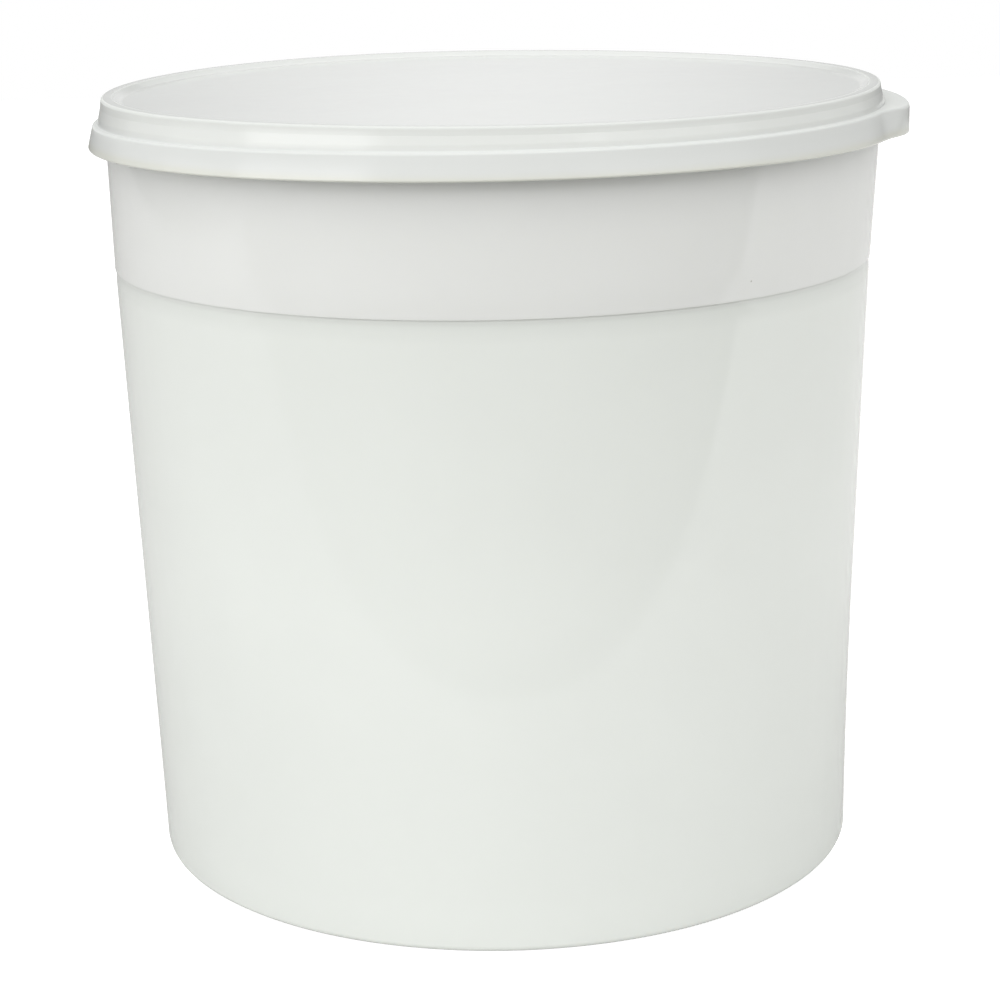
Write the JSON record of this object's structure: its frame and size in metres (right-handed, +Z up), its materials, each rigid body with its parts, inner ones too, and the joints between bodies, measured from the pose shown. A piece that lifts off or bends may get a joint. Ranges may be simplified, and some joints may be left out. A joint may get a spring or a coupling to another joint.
{
  "type": "plastic food tub with lid",
  "caption": "Round white plastic food tub, gently tapered, shut with a press-on lid that has a flared skirt and a lift tab.",
  "frame": {"origin": "middle of the base, on the ground", "axes": "+Z up along the tub's axis, +X towards the lid's lift tab, +Y to the left of the tab"},
  "size_m": [0.1206, 0.1186, 0.115],
  "materials": {
    "tub_plastic": "injection-moulded white polypropylene, soft gloss",
    "lid_plastic": "injection-moulded white polypropylene, soft gloss"
  },
  "bodies": {
    "root": {"tub": "tub_plastic", "lid": "lid_plastic"}
  },
  "joints": []
}
